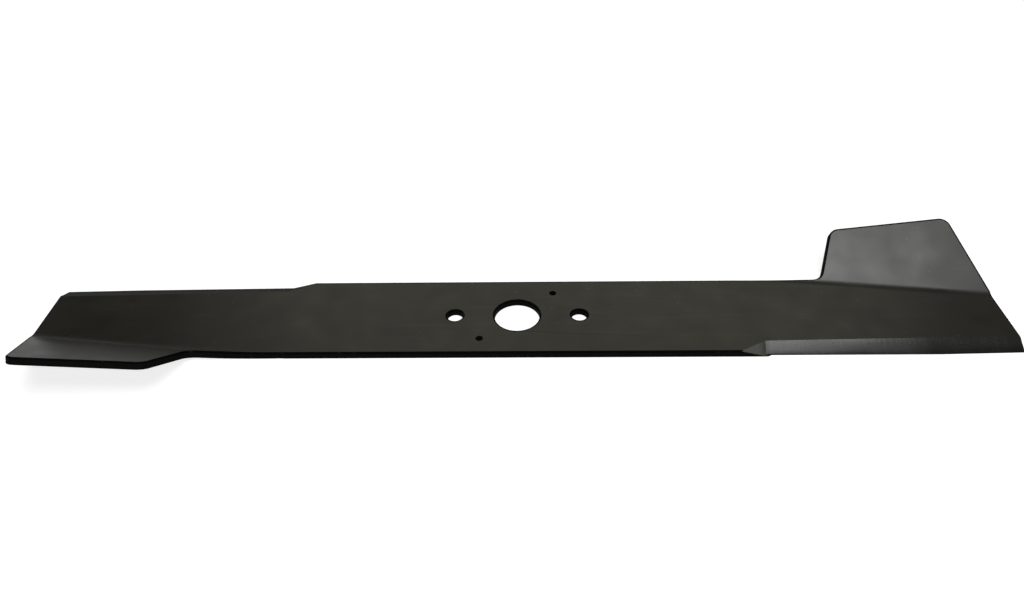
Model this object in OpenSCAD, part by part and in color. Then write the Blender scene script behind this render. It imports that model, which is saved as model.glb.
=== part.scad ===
// Rotary mower blade: one flat steel bar with a ground cutting edge and a folded-up wing at each end.
// The bar lies along X with its underside on Z = 0, and the centre bore stands on the Z axis.
// Both ends are the same, turned half a revolution about the bore.

/* [Bar] */
// Length of the bar, end to end
blade_l = 540; // [440:1:640]
// Width of the bar
bar_w = 60; // [50:0.5:80]
// Thickness of the steel
steel_t = 4; // [3:0.1:6]
// Radius of the corner at each cutting tip
tip_r = 3; // [1:0.5:6]

/* [Hub holes] */
// Diameter of the centre bore
bore_d = 25.4; // [12:0.1:34]
// Distance between the two bolt holes, centre to centre
bolt_spacing = 70; // [50:0.5:110]
// Diameter of the two bolt holes
bolt_d = 9; // [5:0.1:13]
// Diameter of the two small locating holes
pin_d = 4.2; // [2:0.1:6]
// Distance of a locating hole from the bore, along the bar
pin_x = 20.5; // [12:0.5:24]
// Distance of a locating hole from the bore, across the bar
pin_y = 19; // [14:0.5:21]

/* [Cutting edge] */
// Distance from the bore to where the ground face starts
edge_start = 119; // [90:1:180]
// Width of the ground face where it starts, seen from above
bevel_w = 7.8; // [4:0.1:11]
// Angle by which the ground face widens towards the tip
bevel_flare = 1.2; // [0:0.1:2]
// Slope of the ground face
bevel_angle = 24; // [20:0.5:40]
// Set-back of the cutting edge from the side of the bar
edge_set_back = 1.1; // [0.5:0.1:3]
// Angle between the bar and the top line of the run-out face
runout_turn = 29; // [15:1:60]
// Slope of the run-out face
runout_slope = 28.5; // [20:0.5:45]

/* [Wing] */
// Angle to which the wing is folded up
fold_angle = 32; // [20:1:45]
// Inside radius of the fold
fold_r = 10; // [4:0.5:12]
// Angle between the fold and the bar
fold_skew = 7; // [5:0.5:10]
// Distance from the bore to where the side of the bar runs into the fold
fold_x = 126.4; // [110:0.1:145]
// Distance from the bore to the wing's inner edge at the side of the flat bar
wing_x = 177.6; // [165:0.1:200]
// Distance from the bore to the wing's outer edge at the end of the flat bar, across the bar
wing_y = 18.5; // [14:0.1:22]
// Height of the wing's inner corner above the fold, along the sheet
wing_in_h = 31.4; // [22:0.1:42]
// Height of the wing's outer corner above the fold, along the sheet
wing_out_h = 43.6; // [30:0.1:60]
// Lean of the wing's inner edge, from square to the fold
wing_in_lean = 10.3; // [4:0.1:25]
// Lean of the wing's outer edge, from square to the fold
wing_out_lean = 25.5; // [0:0.5:35]
// Radius of the wing's two upper corners
wing_corner_r = 6; // [2:0.5:10]
// Radius of the fillet at the wing's inner foot
foot_r = 6; // [2:0.5:6.5]

/* [Hidden] */
$fn = 96;
paint = "#2f2f2c";

half_l = blade_l / 2;
half_w = bar_w / 2;
half_turns = [0, 180];

// Cutting shapes run past the faces that they cut by this much
cut_over = steel_t;

// Arcs stand this far past the edges that they join, so that they cross them
arc_over = 0.002;

// Sheet taken up by the fold, at mid thickness
fold_arc = (fold_r + steel_t / 2) * fold_angle * PI / 180;

// Length of the fold's start line on the bar, its distance from the bore, and the height of the fold's axis
fold_l = (half_l - fold_x) / cos(fold_skew);
fold_off = fold_x * sin(fold_skew) + half_w * cos(fold_skew);
fold_h = steel_t + fold_r;

// The side and the end of the bar cross the fold as twisted faces, made of this many flat steps
twist_steps = 12;

// The twisted faces run past the sheet's upper and lower faces by this much
twist_over = fold_r / 4;

// The first step starts ahead of the fold by this share of a step
twist_lead = 0.1;

// A fillet's shape runs from the middle of its arc into the sheet, to this many times the arc's distance
fillet_reach = 1.25;

// The waste beside the wing starts this far above its inner foot, where the fillet covers the cut
waste_lift = foot_r / 4;

// Places on the side and on the end of the bar in the flat sheet: X along the fold, Y across it
function on_side(across) = [across / tan(fold_skew), across];
function on_end(across) = [fold_l - across * tan(fold_skew), across];

// The wing's feet in the flat sheet, on the side and on the end of the bar
side_foot = (wing_x - fold_x) * [cos(fold_skew), sin(fold_skew)];
end_foot = on_end((half_l - fold_x) * sin(fold_skew) - (half_w - wing_y) * cos(fold_skew));

// Corners of the wing in its own plane: X along the fold, Y up the wing from where the fold ends
fold_end = [0, fold_arc];
foot_in = side_foot - fold_end;
top_in = [foot_in.x + (wing_in_h - foot_in.y) * tan(wing_in_lean), wing_in_h];
foot_out = end_foot - fold_end;
top_out = [foot_out.x - (wing_out_h - foot_out.y) * tan(wing_out_lean), wing_out_h];

// The sheet is cut from a piece that reaches past the wing by this much, measured from the fold
wing_over = wing_out_h + foot_r;

function unit(v) = v / norm(v);

// Half of the angle at corner p between the edges that run to a and to b
function half_angle(p, a, b) = acos(unit(a - p) * unit(b - p)) / 2;

// Point where an arc of radius r in corner p meets the edge that runs to a
function arc_end(p, a, b, r) = p + unit(a - p) * r / tan(half_angle(p, a, b));

// Centre of that arc
function arc_centre(p, a, b, r) = p + unit(unit(a - p) + unit(b - p)) * r / sin(half_angle(p, a, b));

// Point of the bent sheet that lies at place p in the flat sheet, at a depth under the upper face
function bent(p, depth) =
    let (
        turn = fold_angle * max(0, min(1, p.y / fold_arc)),
        straight = p.y - fold_arc * turn / fold_angle,
        reach = fold_r + depth,
        out = reach * sin(turn) + straight * cos(turn)
    )
    [
        fold_x + p.x * cos(fold_skew) + out * sin(fold_skew),
        half_w - p.x * sin(fold_skew) + out * cos(fold_skew),
        fold_h - reach * cos(turn) + straight * sin(turn)
    ];

// Four points round the sheet's thickness, at places a and b of the flat sheet
function ring(a, b) = [
    bent(a, -twist_over),
    bent(a, steel_t + twist_over),
    bent(b, steel_t + twist_over),
    bent(b, -twist_over)
];

// The same four points at the other end of the bar
function turned(points) = [for (i = [3 : -1 : 0]) [-points[i].x, -points[i].y, points[i].z]];

// Space over the face that lies at this reach from the middle of each fold, seen along the folds
module above_face(reach) {
    turn_end = [fold_off, fold_h] + (reach - arc_over) * [sin(fold_angle), -cos(fold_angle)];
    far_end = turn_end + (wing_over + cut_over) * [cos(fold_angle), sin(fold_angle)];
    polygon([
        [-fold_off, fold_h - reach],
        [fold_off, fold_h - reach],
        turn_end,
        far_end,
        [-far_end.x, far_end.y],
        [-turn_end.x, turn_end.y]
    ]);
    for (side = [-1, 1])
        translate([side * fold_off, fold_h])
            circle(reach);
}

// The bent sheet before it is cut to its outline
module sheet() {
    rotate([90, 0, 90 - fold_skew])
        linear_extrude(blade_l + bar_w, center = true)
            difference() {
                above_face(fold_r + steel_t);
                above_face(fold_r);
            }
}

// Space within the sides and ends of the bar, square to the sheet all along and open at the wings
module outline_block() {
    fold_places = [for (i = [twist_steps : -1 : 0]) fold_arc * (i - twist_lead) / twist_steps];
    wing_rings = [
        for (across = [fold_arc + wing_over, each fold_places])
            if (across > side_foot.y)
                ring([side_foot.x, across], on_end(across)),
        ring(side_foot, on_end(side_foot.y)),
        for (across = fold_places)
            if (across < side_foot.y)
                ring(on_side(across), on_end(across))
    ];
    tips = [
        [-half_l, half_w, steel_t + twist_over],
        [-half_l, half_w, -twist_over],
        [half_l, -half_w, -twist_over],
        [half_l, -half_w, steel_t + twist_over]
    ];
    n = len(wing_rings);
    points = [
        for (r = wing_rings) each r,
        each tips,
        for (i = [n - 1 : -1 : 0]) each turned(wing_rings[i])
    ];
    walls = [
        for (k = [0 : 2 * n - 1], c = [0 : 3])
            let (a = 4 * k + c, b = 4 * k + (c + 1) % 4)
                each [[b, a, a + 4], [b, a + 4, b + 4]]
    ];
    last = 8 * n;
    caps = [[0, 1, 2, 3], [last + 3, last + 2, last + 1, last]];
    polyhedron(points, concat(walls, caps));
}

// The wing's inner, upper and outer edges, with rounded corners
module wing_outline() {
    low_in = foot_in - (top_in - foot_in);
    low_out = foot_out - (top_out - foot_out);
    polygon([
        low_in,
        arc_end(top_in, foot_in, top_out, wing_corner_r),
        arc_end(top_in, top_out, foot_in, wing_corner_r),
        arc_end(top_out, top_in, foot_out, wing_corner_r),
        arc_end(top_out, foot_out, top_in, wing_corner_r),
        low_out
    ]);
    translate(arc_centre(top_in, foot_in, top_out, wing_corner_r))
        circle(wing_corner_r + arc_over);
    translate(arc_centre(top_out, top_in, foot_out, wing_corner_r))
        circle(wing_corner_r + arc_over);
}

// Sheet cut away round the wing
module wing_waste() {
    difference() {
        union() {
            translate([0, foot_in.y + waste_lift])
                square([fold_l, wing_over + cut_over]);
            translate([top_out.x, foot_out.y - cut_over])
                square([fold_l, wing_over + 2 * cut_over]);
        }
        wing_outline();
    }
}

// Sheet left in the corner at the wing's inner foot
module foot_fillet() {
    side_start = -fold_end;
    centre = arc_centre(foot_in, side_start, top_in, foot_r);
    corner = [
        arc_end(foot_in, side_start, top_in, foot_r),
        foot_in,
        arc_end(foot_in, top_in, side_start, foot_r)
    ];
    difference() {
        polygon([centre, for (p = corner) centre + fillet_reach * (p - centre)]);
        translate(centre)
            circle(foot_r + arc_over);
    }
}

// Stands an outline in the plane of the wing through the sheet there
module through_wing() {
    translate([fold_x, half_w, fold_h])
        rotate([fold_angle, 0, -fold_skew])
            translate([0, 0, -fold_h - cut_over])
                linear_extrude(steel_t + 2 * cut_over)
                    children();
}

// The bent sheet, cut to its outline
module cut_sheet() {
    difference() {
        intersection() {
            sheet();
            outline_block();
        }
        for (turn = half_turns)
            rotate(turn)
                through_wing()
                    wing_waste();
    }
    for (turn = half_turns)
        intersection() {
            sheet();
            rotate(turn)
                through_wing()
                    foot_fillet();
        }
}

// Steel cut away at a cutting tip
module tip_waste() {
    translate([half_l - tip_r, tip_r - half_w, -cut_over])
        difference() {
            translate([0, -2 * tip_r, 0])
                cube([2 * tip_r, 2 * tip_r, steel_t + 2 * cut_over]);
            translate([0, 0, -cut_over])
                cylinder(r = tip_r, h = steel_t + 4 * cut_over);
        }
}

// Everything above a plane that falls towards -Y
module above_plane() {
    translate([-blade_l, -blade_l, 0])
        cube([2 * blade_l, blade_l + cut_over, blade_l]);
}

// Steel ground away along the cutting edge at the end of the bar on +X
module edge_grind() {
    intersection() {
        translate([edge_start, -half_w, steel_t])
            rotate([runout_slope, 0, runout_turn])
                above_plane();
        union() {
            translate([edge_start, bevel_w - half_w, steel_t])
                rotate([bevel_angle, 0, bevel_flare])
                    above_plane();
            translate([0, -bar_w, -cut_over])
                cube([blade_l, half_w + edge_set_back, steel_t + 2 * cut_over]);
        }
    }
}

module hub_hole(d) {
    translate([0, 0, -cut_over])
        cylinder(d = d, h = steel_t + 2 * cut_over);
}

module blade() {
    color(paint)
        difference() {
            cut_sheet();
            hub_hole(bore_d);
            for (turn = half_turns)
                rotate(turn) {
                    translate([bolt_spacing / 2, 0, 0])
                        hub_hole(bolt_d);
                    translate([pin_x, pin_y, 0])
                        hub_hole(pin_d);
                    edge_grind();
                    tip_waste();
                }
        }
}

blade();
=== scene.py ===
import math

import bpy
from mathutils import Matrix, Quaternion, Vector


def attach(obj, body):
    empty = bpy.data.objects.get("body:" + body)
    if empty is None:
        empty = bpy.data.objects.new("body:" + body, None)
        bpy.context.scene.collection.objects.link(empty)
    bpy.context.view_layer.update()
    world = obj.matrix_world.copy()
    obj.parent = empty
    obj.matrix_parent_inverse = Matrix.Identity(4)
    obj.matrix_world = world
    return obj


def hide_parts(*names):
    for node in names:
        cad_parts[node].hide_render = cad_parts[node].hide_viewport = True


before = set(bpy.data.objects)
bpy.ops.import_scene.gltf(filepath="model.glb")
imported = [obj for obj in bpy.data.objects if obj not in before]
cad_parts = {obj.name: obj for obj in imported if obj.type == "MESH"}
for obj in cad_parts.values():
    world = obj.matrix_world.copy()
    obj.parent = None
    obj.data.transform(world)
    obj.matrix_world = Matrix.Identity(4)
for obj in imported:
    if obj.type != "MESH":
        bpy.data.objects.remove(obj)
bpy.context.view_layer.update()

MM = 0.001
UP = Vector((0, 0, 1))

# The flat bar, as in the solid
HALF_LENGTH = 270 * MM
HALF_WIDTH = 30 * MM
STEEL_THICKNESS = 4 * MM
TIP_RADIUS = 3 * MM

PIN_HOLE_X = 20.5 * MM
PIN_HOLE_Y = 19 * MM

# Round punches for the hub: diameter, distance from the bore along and across the bar, and sides of the punch
HUB_PUNCHES = (
    (25.4 * MM, 0, 0, 128),
    (9 * MM, 35 * MM, 0, 64),
    (9 * MM, -35 * MM, 0, 64),
    (4.2 * MM, PIN_HOLE_X, PIN_HOLE_Y, 40),
    (4.2 * MM, -PIN_HOLE_X, -PIN_HOLE_Y, 40))

# Ground face of the cutting edge, with its slanted run-out and the set-back of its edge
GROUND_START = 119 * MM
GROUND_WIDTH = 7.8 * MM
GROUND_FLARE = math.radians(1.2)
GROUND_SLOPE = math.radians(24)
RUNOUT_TURN = math.radians(29)
RUNOUT_SLOPE = math.radians(28.5)
EDGE_SET_BACK = 1.1 * MM

# The wheel leaves the ground face hollow: steeper than its slope at the top, as much flatter at the edge
HOLLOW_START = math.radians(1.5)
HOLLOW_TIP = math.radians(6)
HOLLOW_STEPS = 5

# Fold of the wing, and the wing's feet, heights and leans on the flat sheet
FOLD_ANGLE = math.radians(32)
FOLD_RADIUS = 10 * MM
FOLD_SKEW = math.radians(7)
FOLD_START = Vector((126.4, 30, 0)) * MM
FOLD_ARC = (FOLD_RADIUS + STEEL_THICKNESS / 2) * FOLD_ANGLE
FOLD_STEPS = 16
ALONG_FOLD = Vector((math.cos(FOLD_SKEW), -math.sin(FOLD_SKEW), 0))
ACROSS_FOLD = Vector((math.sin(FOLD_SKEW), math.cos(FOLD_SKEW), 0))
WING_FOOT_IN = Vector((177.6, 30, 0)) * MM
WING_FOOT_OUT = Vector((270, 18.5, 0)) * MM
WING_IN_HEIGHT = 31.4 * MM
WING_OUT_HEIGHT = 43.6 * MM
WING_IN_LEAN = math.radians(10.3)
WING_OUT_LEAN = math.radians(25.5)
WING_CORNER_RADIUS = 6 * MM
FOOT_RADIUS = 6 * MM
CORNER_STEPS = 12

# The shear rolls the upper edges over and leaves the lower ones crisp
# A profile near 1 keeps the rounded corner tight, and 0.5 makes it a true quarter circle
ROLL_OVER = 1.0 * MM
ROLL_OVER_STEPS = 14
ROLL_OVER_PROFILE = 0.72
LOWER_ROUNDING = 0.3 * MM
LOWER_STEPS = 8
LOWER_PROFILE = 0.5
PIN_HOLE_SIZE = 3 * MM
SMOOTH_UNDER = math.radians(12)

# Cutters reach past what they cut by this much, and points and lines this close count as one
CUT_OVER = 20 * MM
SAME_PLACE = 0.01 * MM
STRAIGHT_WITHIN = math.radians(0.1)
GROUND_START_SLACK = 0.1 * MM

# The finishes, and how far upwards the normals of the sheared walls and of the ground faces point
ROLLED, SHEARED, GROUND, ARRIS = range(4)
SHEARED_UP_AT_MOST = 0.3
GROUND_UP_AT_LEAST = 0.8
GROUND_UP_AT_MOST = 0.97

# The enamel's refractive index, and the strongest painted highlight on the ground face where the wheel runs
# out
PAINT_IOR = 1.5
MOST_RUNOUT_HIGHLIGHT = 0.9

# The photograph is taken from close by, a little to the right of the bore, with a wide lens
PHOTO_WIDTH_PX = 1024
SENSOR_WIDTH = 36.0
FOCAL_LENGTH_PX = 779.701
CAMERA_DISTANCE = 459.176 * MM
CAMERA_ELEVATION = math.radians(39.941)
CAMERA_AZIMUTH = math.radians(1.801)
CAMERA_ROLL = math.radians(1.519)
CAMERA_TARGET = Vector((-3.271, 22.819, 0)) * MM

# The floor and the wall round it, in metres
FLOOR_RADIUS = 2.4
FLOOR_SIDES = 96
FLOOR_GAP = 0.1 * MM
WALL_HEIGHT = 0.7

# The cards look white to the eye, and in the enamel's reflections are lifted by these shares of that
CARD_COLOUR = "#a8a8a8"
FLOOR_GLOW = 0.8
WALL_GLOW = 0.9
FLOOR_MIRRORED_SHARE = 0.28
WALL_MIRRORED_SHARE = 0.1
ROOM_BRIGHTNESS = 0.05


def linear(colour):
    """Linear red, green, blue and alpha of an sRGB hex colour."""
    shares = [int(colour[i:i + 2], 16) / 255 for i in (1, 3, 5)]
    return [s / 12.92 if s <= 0.04045 else ((s + 0.055) / 1.055) ** 2.4 for s in shares] + [1.0]


def add_node(tree, kind, inputs=None, **settings):
    """Adds a shader node with its settings, and sets or links its inputs."""
    node = tree.nodes.new(kind)
    for name, value in settings.items():
        setattr(node, name, value)
    for name, value in (inputs or {}).items():
        if isinstance(value, bpy.types.NodeSocket):
            tree.links.new(value, node.inputs[name])
        else:
            node.inputs[name].default_value = value
    return node


def new_material(name):
    """An empty material, and its node tree with only the output in it."""
    material = bpy.data.materials.new(name)
    material.use_nodes = True
    tree = material.node_tree
    tree.nodes.clear()
    return material, tree, tree.nodes.new("ShaderNodeOutputMaterial")


def set_ramp(ramp, low, low_colour, high, high_colour):
    """Sets the two ends of a colour ramp."""
    ends = ramp.color_ramp.elements
    ends[0].position = low
    ends[0].color = linear(low_colour)
    ends[1].position = high
    ends[1].color = linear(high_colour)


def satin_enamel_on_rolled_steel():
    """Satin black enamel, dipped and stoved on rolled sheet.

    It gives soft wide reflections, with cloudy gloss where the film ran thicker or thinner,
    faint rubs from stacking, a fine film texture and a few grains of dust caught in the coat.
    """
    material, tree, output = new_material("satin_enamel_on_rolled_steel")
    place = add_node(tree, "ShaderNodeTexCoord").outputs["Object"]
    clouds = add_node(tree, "ShaderNodeTexNoise", {"Vector": place, "Scale": 1 / (38 * MM), "Detail": 4.0})
    mottle = add_node(tree, "ShaderNodeTexNoise", {"Vector": place, "Scale": 1 / (15 * MM), "Detail": 1.0})
    film = add_node(tree, "ShaderNodeTexNoise", {"Vector": place, "Scale": 1 / (1.6 * MM), "Detail": 2.0})
    stacked = add_node(tree, "ShaderNodeMapping", {
        "Vector": place, "Rotation": (0, 0, math.radians(14)),
        "Scale": (1 / (70 * MM), 1 / (2.5 * MM), 1 / (9 * MM))})
    rubs = add_node(tree, "ShaderNodeTexNoise", {
        "Vector": stacked.outputs["Vector"], "Scale": 1.0, "Detail": 3.0})
    rub_wear_and_painted_highlight = add_node(tree, "ShaderNodeMapRange", {
        "Value": rubs.outputs["Fac"], "From Min": 0.6, "From Max": 0.74, "To Min": 0.0, "To Max": 0.5})
    dust = add_node(tree, "ShaderNodeTexVoronoi", {"Vector": place, "Scale": 1 / (9 * MM)})
    grain = add_node(tree, "ShaderNodeMapRange", {
        "Value": dust.outputs["Distance"], "From Min": 0.045, "From Max": 0.065,
        "To Min": 0.35, "To Max": 0.0})
    coat = add_node(tree, "ShaderNodeValToRGB", {"Fac": clouds.outputs["Fac"]})
    set_ramp(coat, 0.3, "#1a1915", 0.7, "#201f1a")
    worn = add_node(tree, "ShaderNodeMix", {
        "Factor": rub_wear_and_painted_highlight.outputs["Result"], "A": coat.outputs["Color"], "B": linear("#2b2b27")},
        data_type="RGBA")
    dusty = add_node(tree, "ShaderNodeMix", {
        "Factor": grain.outputs["Result"], "A": worn.outputs["Result"], "B": linear("#5c5b54")},
        data_type="RGBA")
    cloudy = add_node(tree, "ShaderNodeMapRange", {
        "Value": clouds.outputs["Fac"], "From Min": 0.2, "From Max": 0.8, "To Min": 0.22, "To Max": 0.31})
    gloss = add_node(tree, "ShaderNodeMapRange", {
        "Value": mottle.outputs["Fac"], "From Min": 0.2, "From Max": 0.8,
        "To Min": cloudy.outputs["Result"], "To Max": 0.38})
    bump = add_node(tree, "ShaderNodeBump", {
        "Height": film.outputs["Fac"], "Strength": 0.03, "Distance": 0.08 * MM})
    paint = add_node(tree, "ShaderNodeBsdfPrincipled", {
        "Base Color": dusty.outputs["Result"], "Roughness": gloss.outputs["Result"],
        "IOR": PAINT_IOR, "Normal": bump.outputs["Normal"]})
    tree.links.new(paint.outputs["BSDF"], output.inputs["Surface"])
    return material


def enamel_and_painted_shade_on_sheared_edge():
    """The same enamel on the sheared and punched edges.

    The upper band is burnished by the tool, and the steel below it is torn, with streaks down the thickness,
    so the coat lies matt. Its near-black colour is painted shade on the cut walls.
    """
    material, tree, output = new_material("enamel_and_painted_shade_on_sheared_edge")
    place = add_node(tree, "ShaderNodeAttribute", attribute_name="flat_place").outputs["Vector"]
    down = add_node(tree, "ShaderNodeMapping", {
        "Vector": place, "Scale": (1 / (0.7 * MM), 1 / (0.7 * MM), 1 / (8 * MM))})
    streaks = add_node(tree, "ShaderNodeTexNoise", {
        "Vector": down.outputs["Vector"], "Scale": 1.0, "Detail": 3.0})
    height = add_node(tree, "ShaderNodeSeparateXYZ", {"Vector": place})
    wavy = add_node(tree, "ShaderNodeTexNoise", {"Vector": place, "Scale": 1 / (11 * MM), "Detail": 2.0})
    border = add_node(tree, "ShaderNodeMapRange", {
        "Value": wavy.outputs["Fac"], "To Min": 1.8 * MM, "To Max": 3.4 * MM})
    above = add_node(tree, "ShaderNodeMath", {0: height.outputs["Z"], 1: border.outputs["Result"]},
                     operation="SUBTRACT")
    torn = add_node(tree, "ShaderNodeMapRange", {
        "Value": above.outputs[0], "From Min": -0.3 * MM, "From Max": 0.3 * MM,
        "To Min": 1.0, "To Max": 0.25})
    # Painted shade: the streaked near-black colour stands for the shade on the cut walls
    colour = add_node(tree, "ShaderNodeValToRGB", {"Fac": streaks.outputs["Fac"]})
    set_ramp(colour, 0.3, "#050505", 0.7, "#0d0d0c")
    matt = add_node(tree, "ShaderNodeMapRange", {
        "Value": torn.outputs["Result"], "To Min": 0.5, "To Max": 0.72})
    bump = add_node(tree, "ShaderNodeBump", {
        "Height": streaks.outputs["Fac"], "Strength": torn.outputs["Result"], "Distance": 0.15 * MM})
    paint = add_node(tree, "ShaderNodeBsdfPrincipled", {
        "Base Color": colour.outputs["Color"], "Roughness": matt.outputs["Result"], "IOR": PAINT_IOR,
        "Specular IOR Level": 0.06, "Normal": bump.outputs["Normal"]})
    tree.links.new(paint.outputs["BSDF"], output.inputs["Surface"])
    return material


def enamel_on_ground_edge_with_painted_shade_and_highlight():
    """The same enamel over the ground face of the cutting edge.

    The coat is thinner, with the wheel's marks across it. Painted shade darkens it towards the cutting edge,
    and a painted highlight greys it where the wheel runs out at the right end. The blade was dipped hanging
    from its left end, and the coat there is thin and matt.
    """
    material, tree, output = new_material("enamel_on_ground_edge_with_painted_shade_and_highlight")
    place = add_node(tree, "ShaderNodeTexCoord").outputs["Object"]
    place_parts = add_node(tree, "ShaderNodeSeparateXYZ", {"Vector": place})
    from_middle = add_node(tree, "ShaderNodeMath", {0: place_parts.outputs["Y"]}, operation="ABSOLUTE")
    across = add_node(tree, "ShaderNodeMapping", {
        "Vector": place, "Rotation": (0, 0, math.radians(6)),
        "Scale": (1 / (0.9 * MM), 1 / (14 * MM), 1 / (14 * MM))})
    marks = add_node(tree, "ShaderNodeTexNoise", {
        "Vector": across.outputs["Vector"], "Scale": 1.0, "Detail": 2.0})
    clouds = add_node(tree, "ShaderNodeTexNoise", {"Vector": place, "Scale": 1 / (24 * MM), "Detail": 3.0})
    colour = add_node(tree, "ShaderNodeValToRGB", {"Fac": marks.outputs["Fac"]})
    set_ramp(colour, 0.3, "#1b1b18", 0.7, "#23231f")
    # Painted shade: the colour is darkened towards the cutting edge
    outer = add_node(tree, "ShaderNodeMapRange", {
        "Value": from_middle.outputs[0], "From Min": 23 * MM, "From Max": 28.5 * MM,
        "To Min": 0.0, "To Max": 0.85})
    painted_edge_shade = add_node(tree, "ShaderNodeMix", {
        "Factor": outer.outputs["Result"], "A": colour.outputs["Color"], "B": linear("#040404")},
        data_type="RGBA")
    run_out = add_node(tree, "ShaderNodeMapRange", {
        "Value": place_parts.outputs["X"], "From Min": 129 * MM, "From Max": 136 * MM,
        "To Min": 1.0, "To Max": 0.0})
    painted_highlight_right_matt_left = add_node(tree, "ShaderNodeMapRange", {
        "Value": place_parts.outputs["X"], "From Min": -100 * MM, "From Max": 100 * MM,
        "To Min": 0.0, "To Max": MOST_RUNOUT_HIGHLIGHT})
    # Painted highlight: the run-out at the right end is coloured grey, and the same mask keeps the left end
    # matt
    rub_wear_and_painted_highlight = add_node(tree, "ShaderNodeMath", {
        0: run_out.outputs["Result"], 1: painted_highlight_right_matt_left.outputs["Result"]}, operation="MULTIPLY")
    painted_runout_highlight = add_node(tree, "ShaderNodeMix", {
        "Factor": rub_wear_and_painted_highlight.outputs[0], "A": painted_edge_shade.outputs["Result"], "B": linear("#4a4a46")}, data_type="RGBA")
    cloudy = add_node(tree, "ShaderNodeMapRange", {
        "Value": clouds.outputs["Fac"], "From Min": 0.3, "From Max": 0.7, "To Min": 0.17, "To Max": 0.23})
    gloss = add_node(tree, "ShaderNodeMapRange", {
        "Value": run_out.outputs["Result"], "To Min": cloudy.outputs["Result"], "To Max": 0.6})
    dipped = add_node(tree, "ShaderNodeMapRange", {
        "Value": painted_highlight_right_matt_left.outputs["Result"], "From Max": MOST_RUNOUT_HIGHLIGHT,
        "To Min": 0.85, "To Max": gloss.outputs["Result"]})
    bump = add_node(tree, "ShaderNodeBump", {
        "Height": marks.outputs["Fac"], "Strength": 0.2, "Distance": 0.06 * MM})
    paint = add_node(tree, "ShaderNodeBsdfPrincipled", {
        "Base Color": painted_runout_highlight.outputs["Result"], "Roughness": dipped.outputs["Result"], "IOR": PAINT_IOR,
        "Specular IOR Level": 0.45, "Normal": bump.outputs["Normal"]})
    tree.links.new(paint.outputs["BSDF"], output.inputs["Surface"])
    return material


def thin_enamel_and_painted_shade_on_arris():
    """The same enamel drawn thin over the rolled arrises, with painted shade along them.

    Its near-black colour is painted shade; it is matt, and worn to grey steel in a few small spots.
    """
    material, tree, output = new_material("thin_enamel_and_painted_shade_on_arris")
    place = add_node(tree, "ShaderNodeTexCoord").outputs["Object"]
    patches = add_node(tree, "ShaderNodeTexNoise", {"Vector": place, "Scale": 1 / (4 * MM), "Detail": 4.0})
    # Painted shade: the arris is near black, apart from a few grey worn spots
    colour = add_node(tree, "ShaderNodeValToRGB", {"Fac": patches.outputs["Fac"]})
    set_ramp(colour, 0.62, "#060606", 0.82, "#2c2c29")
    matt = add_node(tree, "ShaderNodeMapRange", {
        "Value": patches.outputs["Fac"], "From Min": 0.3, "From Max": 0.75, "To Min": 0.68, "To Max": 0.5})
    paint = add_node(tree, "ShaderNodeBsdfPrincipled", {
        "Base Color": colour.outputs["Color"], "Roughness": matt.outputs["Result"], "IOR": PAINT_IOR,
        "Specular IOR Level": 0.02})
    tree.links.new(paint.outputs["BSDF"], output.inputs["Surface"])
    return material


def edit_all():
    """Goes to edit mode with everything selected."""
    bpy.ops.object.mode_set(mode="EDIT")
    bpy.ops.mesh.select_all(action="SELECT")


def cut_line(place, direction, **keep):
    """Cuts the flat sheet along a line; the cut's outer side is on its left, the inner side on its right."""
    bpy.ops.mesh.select_all(action="SELECT")
    bpy.ops.mesh.bisect(plane_co=place, plane_no=UP.cross(direction), **keep)


def wing_corner(foot, height, lean):
    """Corner of the wing on the flat sheet, at the upper end of the edge that leans outwards from a foot."""
    rise = height + FOLD_ARC - (foot - FOLD_START).dot(ACROSS_FOLD)
    return foot + rise * (ACROSS_FOLD + math.tan(lean) * ALONG_FOLD)


def round_corner(blade, before, corner, after, radius):
    """Rounds one corner of the flat sheet, which lies between two other corners."""
    half_angle = (before - corner).angle(after - corner) / 2
    bpy.ops.mesh.select_mode(type="VERT")
    bpy.ops.mesh.select_all(action="DESELECT")
    bpy.ops.object.mode_set(mode="OBJECT")
    nearest = min(blade.data.vertices, key=lambda vertex: (vertex.co - corner).length)
    nearest.select = True
    bpy.ops.object.mode_set(mode="EDIT")
    bpy.ops.mesh.bevel(affect="VERTICES", offset=radius / math.tan(half_angle), segments=CORNER_STEPS,
                       profile=0.5, clamp_overlap=False)


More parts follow.
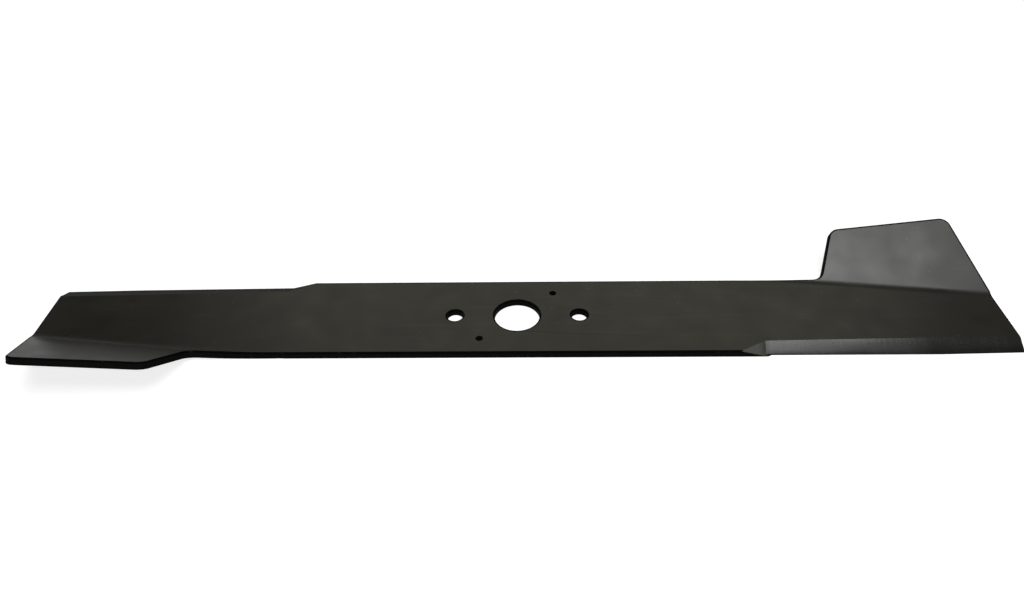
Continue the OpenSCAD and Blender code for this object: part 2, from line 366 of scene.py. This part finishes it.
def flat_blank():
    """The sheet as it is cut, before it is folded: half a blade, then the other half by half a turn."""
    top_in = wing_corner(WING_FOOT_IN, WING_IN_HEIGHT, WING_IN_LEAN)
    top_out = wing_corner(WING_FOOT_OUT, WING_OUT_HEIGHT, -WING_OUT_LEAN)
    tip = Vector((HALF_LENGTH, -HALF_WIDTH, 0))
    side_start = Vector((0, HALF_WIDTH, 0))
    sheet_width = 2 * HALF_WIDTH + WING_OUT_HEIGHT
    bpy.ops.object.select_all(action="DESELECT")
    bpy.ops.mesh.primitive_plane_add(size=1)
    blade = bpy.context.object
    blade.name = "enamelled_blade"
    edit_all()
    bpy.ops.transform.resize(value=(HALF_LENGTH, sheet_width, 1))
    bpy.ops.transform.translate(value=(HALF_LENGTH / 2, sheet_width / 2 - HALF_WIDTH, 0))
    cut_line(top_in, top_out - top_in, clear_outer=True)
    cut_line(WING_FOOT_OUT, top_out - WING_FOOT_OUT, clear_inner=True)
    cut_line(WING_FOOT_IN, Vector((1, 0, 0)))
    cut_line(WING_FOOT_IN, top_in - WING_FOOT_IN)
    bpy.ops.mesh.select_mode(type="FACE")
    bpy.ops.mesh.select_all(action="DESELECT")
    bpy.ops.object.mode_set(mode="OBJECT")
    for face in blade.data.polygons:
        beside_wing = (face.center - WING_FOOT_IN).cross(top_in - WING_FOOT_IN).z < 0
        face.select = face.center.y > HALF_WIDTH and beside_wing
    bpy.ops.object.mode_set(mode="EDIT")
    bpy.ops.mesh.delete(type="FACE")
    bpy.ops.mesh.select_all(action="SELECT")
    bpy.ops.mesh.dissolve_limited(angle_limit=STRAIGHT_WITHIN)
    round_corner(blade, side_start, WING_FOOT_IN, top_in, FOOT_RADIUS)
    round_corner(blade, WING_FOOT_IN, top_in, top_out, WING_CORNER_RADIUS)
    round_corner(blade, top_in, top_out, WING_FOOT_OUT, WING_CORNER_RADIUS)
    round_corner(blade, WING_FOOT_OUT, tip, Vector((0, -HALF_WIDTH, 0)), TIP_RADIUS)
    bpy.ops.mesh.select_all(action="SELECT")
    bpy.ops.mesh.duplicate()
    bpy.ops.transform.rotate(value=math.pi, orient_axis="Z", center_override=(0, 0, 0))
    bpy.ops.mesh.select_all(action="SELECT")
    bpy.ops.mesh.remove_doubles(threshold=SAME_PLACE)
    bpy.ops.mesh.dissolve_limited(angle_limit=STRAIGHT_WITHIN)
    for side in (1, -1):
        for step in range(FOLD_STEPS + 1):
            on_line = FOLD_START + ACROSS_FOLD * FOLD_ARC * step / FOLD_STEPS
            cut_line(Vector((side * on_line.x, side * on_line.y, 0)), ALONG_FOLD)
    bpy.ops.mesh.select_all(action="SELECT")
    bpy.ops.mesh.extrude_region_move(TRANSFORM_OT_translate={"value": (0, 0, STEEL_THICKNESS)})
    bpy.ops.mesh.select_all(action="SELECT")
    bpy.ops.mesh.normals_make_consistent(inside=False)
    bpy.ops.object.mode_set(mode="OBJECT")
    return blade


def cut_away(blade, cutter):
    """Takes the cutter's shape out of the blade, and the cutter out of the scene."""
    bpy.ops.object.select_all(action="DESELECT")
    bpy.context.view_layer.objects.active = blade
    blade.select_set(True)
    difference = blade.modifiers.new("cut_away", "BOOLEAN")
    difference.operation = "DIFFERENCE"
    difference.solver = "EXACT"
    difference.object = cutter
    bpy.ops.object.modifier_apply(modifier=difference.name)
    bpy.data.objects.remove(cutter)


def punch_hub_holes(blade):
    """Punches the bore, the two bolt holes and the two small locating holes."""
    for diameter, along, across, sides in HUB_PUNCHES:
        bpy.ops.object.select_all(action="DESELECT")
        bpy.ops.mesh.primitive_cylinder_add(
            vertices=sides, radius=diameter / 2, depth=STEEL_THICKNESS + 2 * CUT_OVER,
            location=(along, across, STEEL_THICKNESS / 2))
        cut_away(blade, bpy.context.object)


def slope_normal(slope, turn):
    """Upward normal of a plane that falls towards -Y and is then turned about the upright."""
    return Vector((math.sin(slope) * math.sin(turn), -math.sin(slope) * math.cos(turn), math.cos(slope)))


def grinding_block(inner_side, planes):
    """A block over both cutting edges, from an inner side outwards, kept only above the given planes."""
    bpy.ops.object.select_all(action="DESELECT")
    bpy.ops.mesh.primitive_cube_add(size=1)
    block = bpy.context.object
    edit_all()
    bpy.ops.transform.resize(value=(HALF_LENGTH, HALF_WIDTH, 4 * CUT_OVER))
    bpy.ops.transform.translate(value=(HALF_LENGTH / 2 + CUT_OVER, inner_side - HALF_WIDTH / 2, 0))
    for place, normal in planes:
        bpy.ops.mesh.select_all(action="SELECT")
        bpy.ops.mesh.bisect(plane_co=place, plane_no=normal, use_fill=True, clear_inner=True)
    bpy.ops.mesh.select_all(action="SELECT")
    bpy.ops.mesh.duplicate()
    bpy.ops.transform.rotate(value=math.pi, orient_axis="Z", center_override=(0, 0, 0))
    bpy.ops.mesh.select_all(action="SELECT")
    bpy.ops.mesh.normals_make_consistent(inside=False)
    bpy.ops.object.mode_set(mode="OBJECT")
    return block


def ground_profile(x, width, hollow):
    """Points down the ground face at one place along the bar, from its upper border to the set-back edge."""
    drop = width * math.tan(GROUND_SLOPE)
    points = []
    for step in range(HOLLOW_STEPS + 1):
        share = step / HOLLOW_STEPS
        sag = hollow * width * share * (1 - share)
        y = EDGE_SET_BACK - HALF_WIDTH + width * (1 - share)
        points.append(Vector((x, y, STEEL_THICKNESS - drop * share - sag)))
    return points


def hollow_planes():
    """The narrow planes of the hollow ground face, each through its place at the start and at the tip."""
    start_width = GROUND_WIDTH - EDGE_SET_BACK
    tip_width = start_width + (HALF_LENGTH - GROUND_START) * math.tan(GROUND_FLARE)
    at_start = ground_profile(GROUND_START, start_width, HOLLOW_START)
    at_tip = ground_profile(HALF_LENGTH, tip_width, HOLLOW_TIP)
    planes = []
    for step in range(HOLLOW_STEPS):
        middle_start = (at_start[step] + at_start[step + 1]) / 2
        middle_tip = (at_tip[step] + at_tip[step + 1]) / 2
        down = at_start[step + 1] - at_start[step] + at_tip[step + 1] - at_tip[step]
        planes.append((middle_start, down.cross(middle_tip - middle_start).normalized()))
    return planes


def grind_cutting_edges(blade):
    """Grinds the sloped face, its run-out and the set-back edge at both ends."""
    runout = (Vector((GROUND_START, -HALF_WIDTH, STEEL_THICKNESS)), slope_normal(RUNOUT_SLOPE, RUNOUT_TURN))
    cut_away(blade, grinding_block(0, [*hollow_planes(), runout]))
    cut_away(blade, grinding_block(EDGE_SET_BACK - HALF_WIDTH, (runout,)))


def finish_of(face):
    """Which finish a face of the flat blank has, by the way it faces."""
    if abs(face.normal.z) < SHEARED_UP_AT_MOST:
        return SHEARED
    if GROUND_UP_AT_LEAST < face.normal.z < GROUND_UP_AT_MOST:
        return GROUND
    return ROLLED


def beside_ground_edge(place):
    """Whether a place of the flat blank is on the ground part of a cutting edge."""
    outward = -place.y if place.x > 0 else place.y
    return abs(place.x) > GROUND_START - GROUND_START_SLACK and outward > HALF_WIDTH - 2 * GROUND_WIDTH


def in_pin_hole(place):
    """Whether a place is on the rim of one of the two small drilled holes, which have no roll-over."""
    side = 1 if place.x > 0 else -1
    return math.hypot(side * place.x - PIN_HOLE_X, side * place.y - PIN_HOLE_Y) < PIN_HOLE_SIZE


def round_edges(blade, facing, rounding, steps, profile):
    """Rounds the edges where sheared walls meet the upper face (facing 1) or the lower one (facing -1)."""
    mesh = blade.data
    walls = set()
    flats = set()
    for face in mesh.polygons:
        if face.material_index == SHEARED:
            walls.update(face.edge_keys)
        if face.material_index == ROLLED and face.normal.z * facing > 0:
            flats.update(face.edge_keys)
    bpy.ops.object.mode_set(mode="EDIT")
    bpy.ops.mesh.select_mode(type="EDGE")
    bpy.ops.mesh.select_all(action="DESELECT")
    bpy.ops.object.mode_set(mode="OBJECT")
    for edge in mesh.edges:
        start, end = (mesh.vertices[i].co for i in edge.vertices)
        sharp_edge = facing < 0 and (beside_ground_edge(start) or beside_ground_edge(end))
        sharp_edge = sharp_edge or in_pin_hole(start)
        edge.select = edge.key in walls and edge.key in flats and not sharp_edge
    bpy.ops.object.mode_set(mode="EDIT")
    bpy.ops.mesh.bevel(offset=rounding, segments=steps, profile=profile, affect="EDGES",
                       clamp_overlap=False, material=ARRIS)
    bpy.ops.mesh.select_all(action="DESELECT")
    bpy.ops.object.mode_set(mode="OBJECT")


def folded(place):
    """Where a place of the flat blank comes to lie when the wings are folded up."""
    side = 1 if place.x > 0 else -1
    flat = Vector((side * place.x, side * place.y, 0)) - FOLD_START
    along = flat.dot(ALONG_FOLD)
    across = flat.dot(ACROSS_FOLD)
    turn = FOLD_ANGLE * min(max(across / FOLD_ARC, 0), 1)
    straight = across - FOLD_ARC * turn / FOLD_ANGLE
    reach = FOLD_RADIUS + STEEL_THICKNESS - place.z
    outward = reach * math.sin(turn) + straight * math.cos(turn)
    height = FOLD_RADIUS + STEEL_THICKNESS - reach * math.cos(turn) + straight * math.sin(turn)
    spot = FOLD_START + along * ALONG_FOLD + outward * ACROSS_FOLD
    return Vector((side * spot.x, side * spot.y, height))


def fold_wings(blade):
    """Folds both wings up, and keeps each point's place on the flat blank for the cut edges' patterns."""
    mesh = blade.data
    flat_place = mesh.attributes.new("flat_place", "FLOAT_VECTOR", "POINT")
    for vertex in mesh.vertices:
        flat_place.data[vertex.index].vector = vertex.co
    for vertex in mesh.vertices:
        vertex.co = folded(vertex.co)
    mesh.update()


def enamelled_blade():
    """The blade, made as the real one is: cut, punched, ground, folded and then enamelled."""
    blade = flat_blank()
    punch_hub_holes(blade)
    grind_cutting_edges(blade)
    for finish in (satin_enamel_on_rolled_steel(), enamel_and_painted_shade_on_sheared_edge(),
                   enamel_on_ground_edge_with_painted_shade_and_highlight(), thin_enamel_and_painted_shade_on_arris()):
        blade.data.materials.append(finish)
    for face in blade.data.polygons:
        face.material_index = finish_of(face)
    round_edges(blade, 1, ROLL_OVER, ROLL_OVER_STEPS, ROLL_OVER_PROFILE)
    round_edges(blade, -1, LOWER_ROUNDING, LOWER_STEPS, LOWER_PROFILE)
    fold_wings(blade)
    bpy.ops.object.shade_smooth_by_angle(angle=SMOOTH_UNDER)
    normals = blade.modifiers.new("flat_faces_stay_flat", "WEIGHTED_NORMAL")
    normals.keep_sharp = True
    bpy.ops.object.modifier_apply(modifier=normals.name)
    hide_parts("blade")
    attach(blade, "root")


def white_floor():
    """A plain white floor that keeps the blade's shadow, and a low wall all round it that mirrors as grey."""
    bpy.ops.object.select_all(action="DESELECT")
    bpy.ops.mesh.primitive_circle_add(
        vertices=FLOOR_SIDES, radius=FLOOR_RADIUS, fill_type="NGON", location=(0, 0, -FLOOR_GAP))
    floor = bpy.context.object
    floor.name = "white_floor"
    edit_all()
    bpy.ops.mesh.extrude_region_move(TRANSFORM_OT_translate={"value": (0, 0, WALL_HEIGHT)})
    bpy.ops.mesh.delete(type="ONLY_FACE")
    bpy.ops.object.mode_set(mode="OBJECT")
    floor.data.materials.append(lit_card("floor_card", FLOOR_GLOW, FLOOR_MIRRORED_SHARE))
    floor.data.materials.append(lit_card("wall_card", WALL_GLOW, WALL_MIRRORED_SHARE))
    for face in floor.data.polygons:
        face.material_index = 0 if abs(face.normal.z) > 0.5 else 1


def lit_card(name, glow, mirrored_share):
    """Matt card that the eye and glossy things see lifted towards white, without lighting the blade more."""
    material, tree, output = new_material(name)
    rays = add_node(tree, "ShaderNodeLightPath")
    seen = add_node(tree, "ShaderNodeMath", {
        0: rays.outputs["Is Camera Ray"], 1: rays.outputs["Is Transmission Ray"]}, operation="MAXIMUM")
    mirrored = add_node(tree, "ShaderNodeMath", {
        0: rays.outputs["Is Glossy Ray"], 1: mirrored_share, 2: seen.outputs[0]}, operation="MULTIPLY_ADD")
    lift = add_node(tree, "ShaderNodeMath", {0: mirrored.outputs[0], 1: glow}, operation="MULTIPLY")
    card = add_node(tree, "ShaderNodeBsdfPrincipled", {
        "Base Color": linear(CARD_COLOUR), "Roughness": 0.9, "Specular IOR Level": 0.1,
        "Emission Color": linear("#ffffff"), "Emission Strength": lift.outputs[0]})
    tree.links.new(card.outputs["BSDF"], output.inputs["Surface"])
    return material


def soft_box(name, place, aim, turn, width, depth, brightness, colour):
    """A rectangular soft box that faces the point that it is aimed at, turned about its own middle."""
    light = bpy.data.lights.new(name, "AREA")
    light.shape = "RECTANGLE"
    light.size = width
    light.size_y = depth
    light.energy = brightness * math.pi * width * depth
    light.color = linear(colour)[:3]
    lamp = bpy.data.objects.new(name, light)
    lamp.location = place
    facing = (Vector(aim) - Vector(place)).to_track_quat("-Z", "Y")
    lamp.rotation_euler = (facing @ Quaternion(UP, math.radians(turn))).to_euler()
    lamp.visible_camera = False
    bpy.context.scene.collection.objects.link(lamp)


def studio_light():
    """One large soft box overhead and faint ones behind and in front, in a dim grey room."""
    world = bpy.data.worlds.new("dim_studio")
    bpy.context.scene.world = world
    world.use_nodes = True
    background = world.node_tree.nodes["Background"]
    background.inputs["Color"].default_value = linear("#ffffff")
    background.inputs["Strength"].default_value = ROOM_BRIGHTNESS
    soft_box("soft_box_overhead", place=(0.23, -0.48, 2.0), aim=(0.23, -0.48, 0), turn=-17,
             width=1.55, depth=1.17, brightness=5.6, colour="#ffffff")
    soft_box("soft_box_behind", place=(0.1, 1.5, 1.32), aim=(0, 0, 0), turn=0,
             width=2.1, depth=0.8, brightness=0.74, colour="#fffcea")
    soft_box("soft_box_in_front", place=(0, -1.7, 1.0), aim=(0, 0, 0), turn=0,
             width=2.1, depth=0.8, brightness=1.3, colour="#ffffff")


def photo_camera():
    """The camera where the photograph was taken from."""
    back = Vector((
        math.sin(CAMERA_AZIMUTH) * math.cos(CAMERA_ELEVATION),
        -math.cos(CAMERA_AZIMUTH) * math.cos(CAMERA_ELEVATION),
        math.sin(CAMERA_ELEVATION)))
    level_right = (-back).cross(UP).normalized()
    level_down = (-back).cross(level_right)
    right = math.cos(CAMERA_ROLL) * level_right + math.sin(CAMERA_ROLL) * level_down
    up = math.sin(CAMERA_ROLL) * level_right - math.cos(CAMERA_ROLL) * level_down
    camera = bpy.data.objects.new("photo_camera", bpy.data.cameras.new("photo_camera"))
    camera.data.sensor_width = SENSOR_WIDTH
    camera.data.lens = FOCAL_LENGTH_PX / PHOTO_WIDTH_PX * SENSOR_WIDTH
    camera.data.clip_start = 10 * MM
    turn = Matrix((right, up, back)).transposed().to_4x4()
    camera.matrix_world = Matrix.Translation(CAMERA_TARGET + back * CAMERA_DISTANCE) @ turn
    bpy.context.scene.collection.objects.link(camera)
    bpy.context.scene.camera = camera


enamelled_blade()
white_floor()
studio_light()
photo_camera()
bpy.context.scene.view_settings.view_transform = "Standard"
